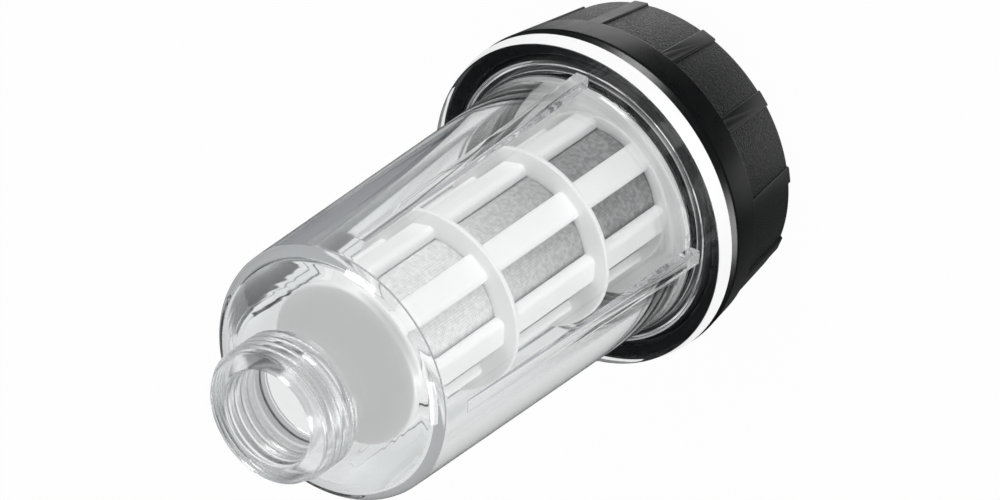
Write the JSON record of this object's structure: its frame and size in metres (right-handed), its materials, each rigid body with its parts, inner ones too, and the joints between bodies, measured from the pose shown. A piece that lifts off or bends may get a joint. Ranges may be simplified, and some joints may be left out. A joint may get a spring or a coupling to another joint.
{
  "type": "water filter",
  "caption": "Inline water filter: clear housing with a threaded neck, screwed into a black cap that holds a white mesh strainer and carries a swivel nut.",
  "frame": {"origin": "centre of the swivel nut's end face, on the filter's axis, which is the middle of the bottom of the box around the part", "axes": "+Z runs along the filter's axis from the swivel nut to the threaded neck; +X points through one rib of the clear housing"},
  "size_m": [0.0648, 0.0648, 0.1256],
  "materials": {
    "nut_plastic": "satin black moulded plastic",
    "washer_rubber": "dull black rubber",
    "cap_plastic": "black moulded plastic, smooth bars and spark-eroded panels",
    "ring_rubber": "smooth black rubber",
    "clear_plastic": "polished clear polycarbonate",
    "white_plastic": "white moulded polypropylene",
    "mesh_plastic": "fine woven filter mesh"
  },
  "bodies": {
    "cap": {"screw_cap": "cap_plastic", "strainer_frame": "white_plastic", "strainer_mesh": "mesh_plastic"},
    "nut": {"swivel_nut": "nut_plastic", "nut_washer": "washer_rubber"},
    "seal": {"housing_o_ring": "ring_rubber"},
    "housing": {"clear_housing": "clear_plastic"}
  },
  "joints": [
    {"name": "nut_swivel", "type": "hinge", "parent": "cap", "child": "nut", "pos_m": [0, 0, 0.0155], "axis": [0, 0, 1], "continuous": true},
    {"name": "housing_lift", "type": "slide", "parent": "cap", "child": "seal", "axis": [0, 0, 1], "range_m": [0, 0.006]},
    {"name": "housing_turn", "type": "hinge", "parent": "seal", "child": "housing", "pos_m": [0, 0, 0.0304], "axis": [0, 0, 1], "range_deg": [0, 720]}
  ],
  "couplings": [
    {"joint": "housing_lift", "follows": "housing_turn", "m_per_rad": 0.00047746}
  ]
}
